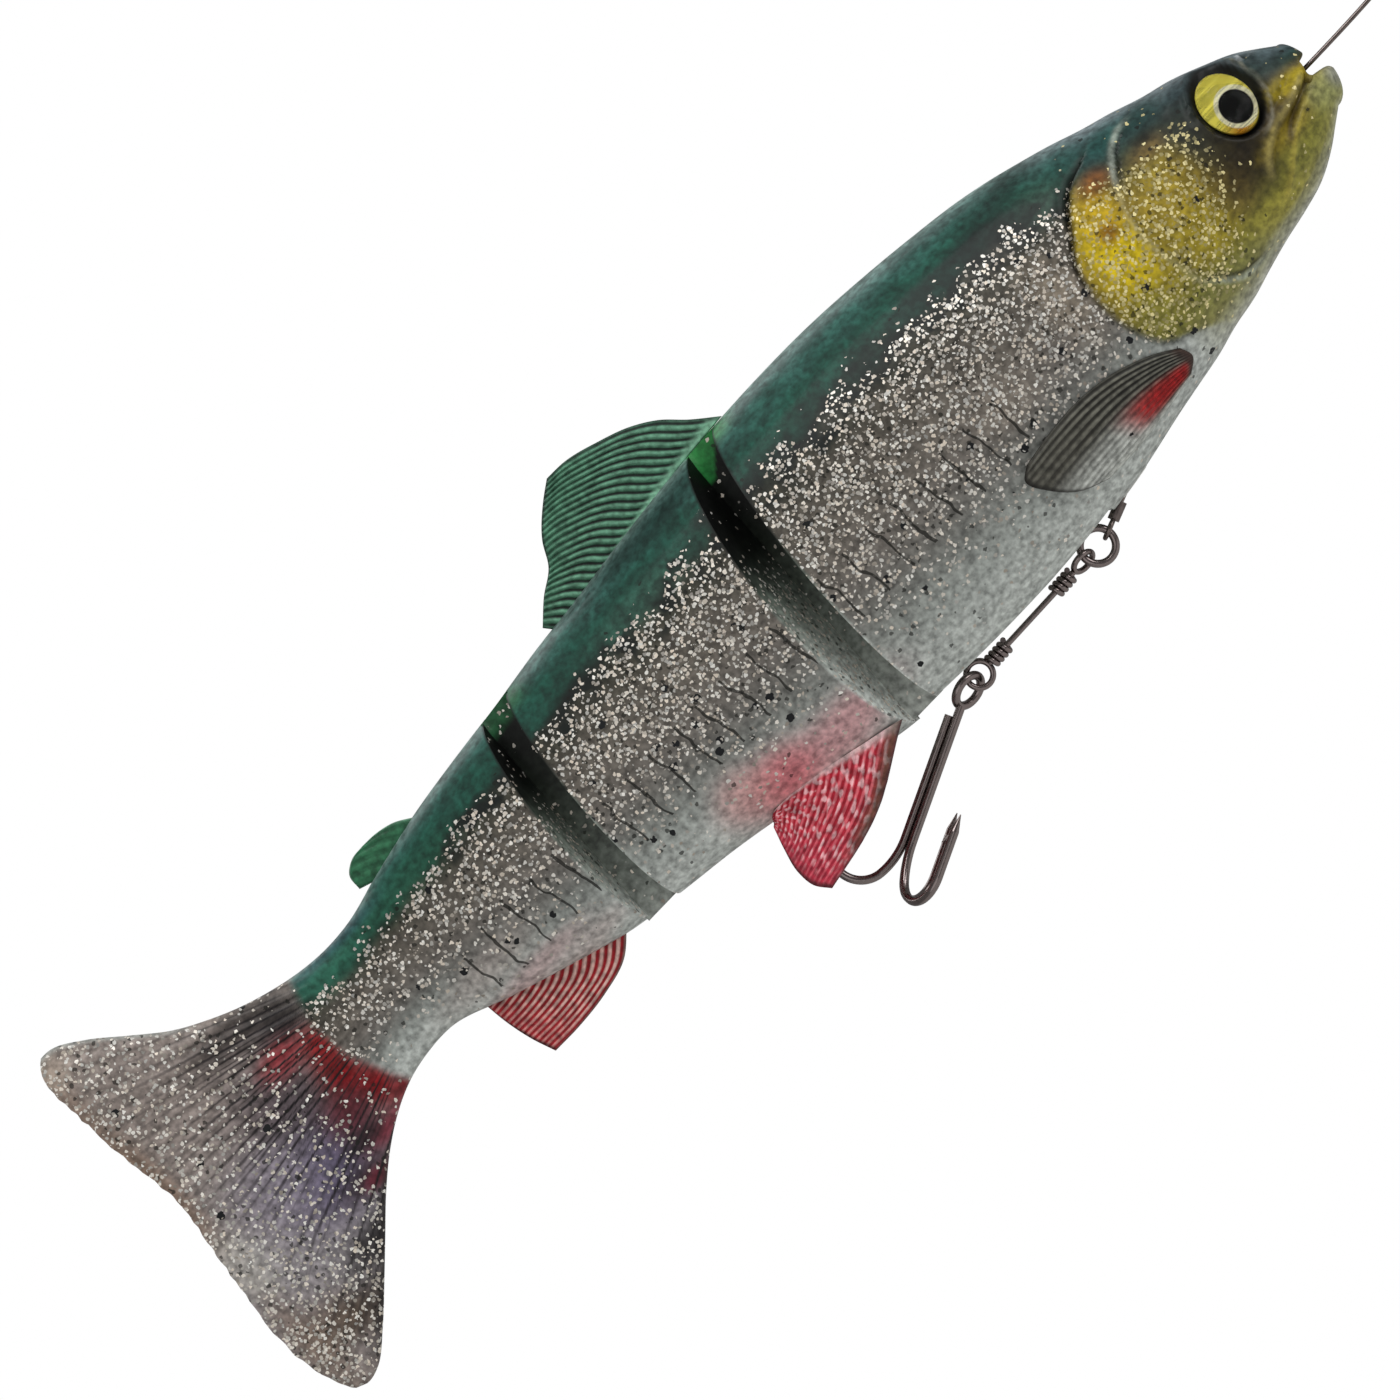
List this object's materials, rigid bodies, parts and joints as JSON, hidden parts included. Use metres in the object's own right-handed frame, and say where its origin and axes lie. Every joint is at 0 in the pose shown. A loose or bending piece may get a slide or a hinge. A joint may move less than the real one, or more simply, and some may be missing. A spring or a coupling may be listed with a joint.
{
  "type": "swimbait",
  "caption": "Jointed soft trout-shaped swimbait on a wire leader, with a line tube through the head, a belly trace and a treble hook.",
  "frame": {"origin": "centre of the leader's end loop, where a snap or line is clipped on", "axes": "+X along the leader from the fish's nose to the loop, +Z to the fish's back, +Y to the fish's left side"},
  "size_m": [0.2311, 0.025, 0.069],
  "materials": {
    "soft_body": "translucent soft TPE painted green over grey and white with silver glitter flakes",
    "soft_web": "dark soft TPE over a woven mesh",
    "tube_plastic": "black extruded tube",
    "lead": "cast lead",
    "woven_mesh": "woven nylon mesh",
    "eye_print": "printed foil disc, yellow iris and black pupil",
    "eye_dome": "clear cast dome",
    "wire": "dark stainless wire",
    "crimp_metal": "blackened crimp sleeve",
    "black_nickel": "black nickel plate",
    "green_fin": "soft moulded fin, pale green ribs with dark grooves",
    "red_fin": "soft moulded fin, pink to red with pale ribs",
    "tail_fin": "translucent grey pink soft fin with silver glitter and a red band"
  },
  "bodies": {
    "head": {"head_section": "soft_body", "line_tube": "tube_plastic", "head_ballast": "lead", "head_mesh": "woven_mesh", "right_eye": "eye_print", "right_eye_lens": "eye_dome", "left_eye": "eye_print", "left_eye_lens": "eye_dome", "leader": "wire", "leader_sleeve": "crimp_metal", "front_web": "soft_web"},
    "middle": {"middle_section": "soft_body", "middle_mesh": "woven_mesh", "middle_ballast": "lead", "dorsal_fin": "green_fin", "right_pelvic_fin": "red_fin", "left_pelvic_fin": "red_fin", "rear_web": "soft_web"},
    "tail": {"tail_section": "soft_body", "tail_mesh": "woven_mesh", "adipose_fin": "green_fin", "anal_fin": "red_fin", "tail_root": "soft_body"},
    "tail_blade": {"caudal_fin": "tail_fin"},
    "rig": {"leader_run": "wire", "leader_crimp": "crimp_metal"},
    "link": {"connector_ring": "black_nickel"},
    "trace": {"trace_wire": "black_nickel"},
    "treble": {"treble_double": "black_nickel", "treble_single": "black_nickel"}
  },
  "joints": [
    {"name": "middle_swing", "type": "hinge", "parent": "head", "child": "middle", "pos_m": [-0.1136, 0, 0], "axis": [0, 0, 1], "range_deg": [-21, 21], "deforming": ["front_web", "right_pelvic_fin", "left_pelvic_fin"]},
    {"name": "tail_swing", "type": "hinge", "parent": "middle", "child": "tail", "pos_m": [-0.154, 0, 0], "axis": [0, 0, 1], "range_deg": [-24, 24], "deforming": ["rear_web"]},
    {"name": "tail_flex", "type": "hinge", "parent": "tail", "child": "tail_blade", "pos_m": [-0.1885, 0, 0], "axis": [0, 0, 1], "range_deg": [-20, 20], "stiffness_Nm_per_rad": 0.02, "deforming": ["tail_root"]},
    {"name": "line_slide", "type": "slide", "parent": "head", "child": "rig", "axis": [-0.9373, 0, -0.3485], "range_m": [0, 0.03]},
    {"name": "ring_swing", "type": "hinge", "parent": "rig", "child": "link", "pos_m": [-0.08621, 0, -0.0222], "axis": [0, -1, 0], "range_deg": [0, 60]},
    {"name": "trace_swing", "type": "hinge", "parent": "link", "child": "trace", "pos_m": [-0.08865, 0, -0.0222], "axis": [0, -1, 0], "range_deg": [0, 60]},
    {"name": "hook_swing", "type": "hinge", "parent": "trace", "child": "treble", "pos_m": [-0.1091, 0, -0.0227], "axis": [0, -1, 0], "range_deg": [0, 60]}
  ]
}
